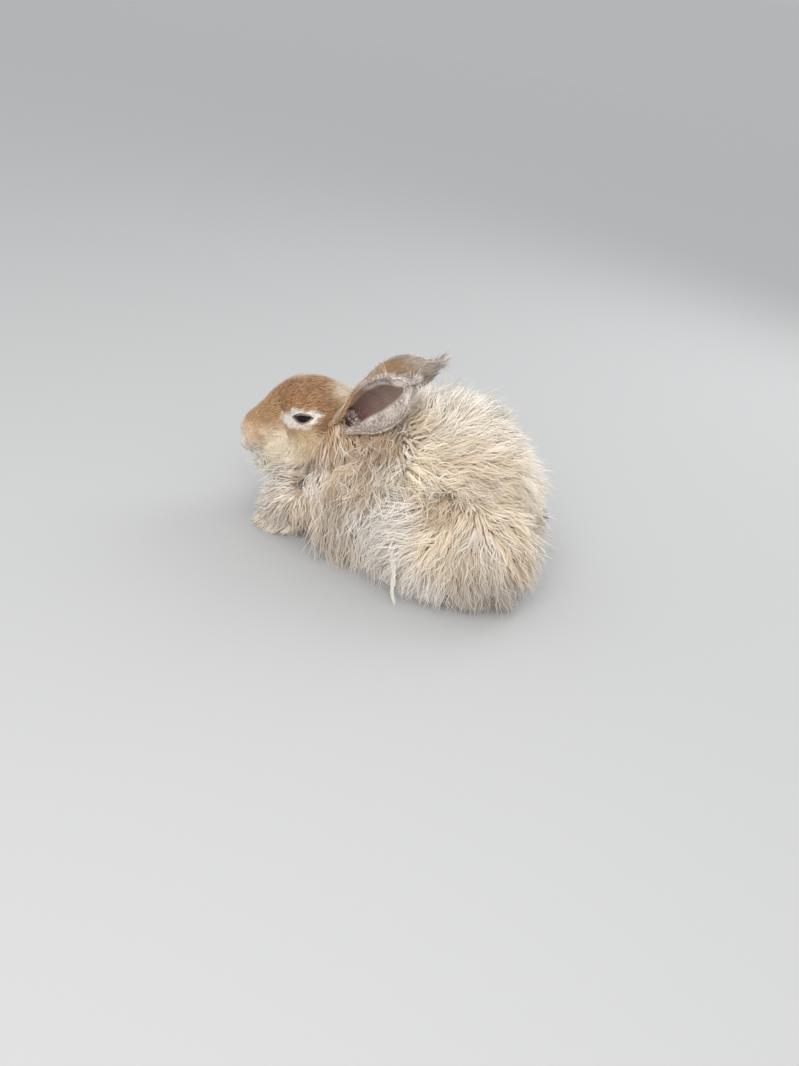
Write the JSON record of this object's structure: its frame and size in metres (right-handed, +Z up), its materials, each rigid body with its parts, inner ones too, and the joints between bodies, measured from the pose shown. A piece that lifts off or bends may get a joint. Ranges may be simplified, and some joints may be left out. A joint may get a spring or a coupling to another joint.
{
  "type": "angora rabbit",
  "caption": "Young angora rabbit crouched with its head low and ears laid back, long wavy coat down to the floor, as a still model.",
  "frame": {"origin": "on the floor, under the middle of the whole rabbit's box", "axes": "+X from nose to rump, so the rabbit faces -X; its left side is -Y; +Z up"},
  "size_m": [0.2822, 0.2022, 0.169],
  "materials": {
    "head_fur": "short soft rust-orange fur, cream at the cheeks and chin",
    "body_coat": "long fine wavy cream and pale fawn wool, matted into locks",
    "ear": "thin bare brownish pink skin inside, short grey and fawn fur outside",
    "eye": "wet dark brown eyeball"
  },
  "bodies": {
    "root": {"head": "head_fur", "ear_left": "ear", "ear_right": "ear", "eye_left": "eye", "eye_right": "eye", "neck": "body_coat", "torso": "body_coat", "hindleg_left": "body_coat", "hindleg_right": "body_coat", "foreleg_left": "body_coat", "foreleg_right": "body_coat", "tail": "body_coat"}
  },
  "joints": []
}
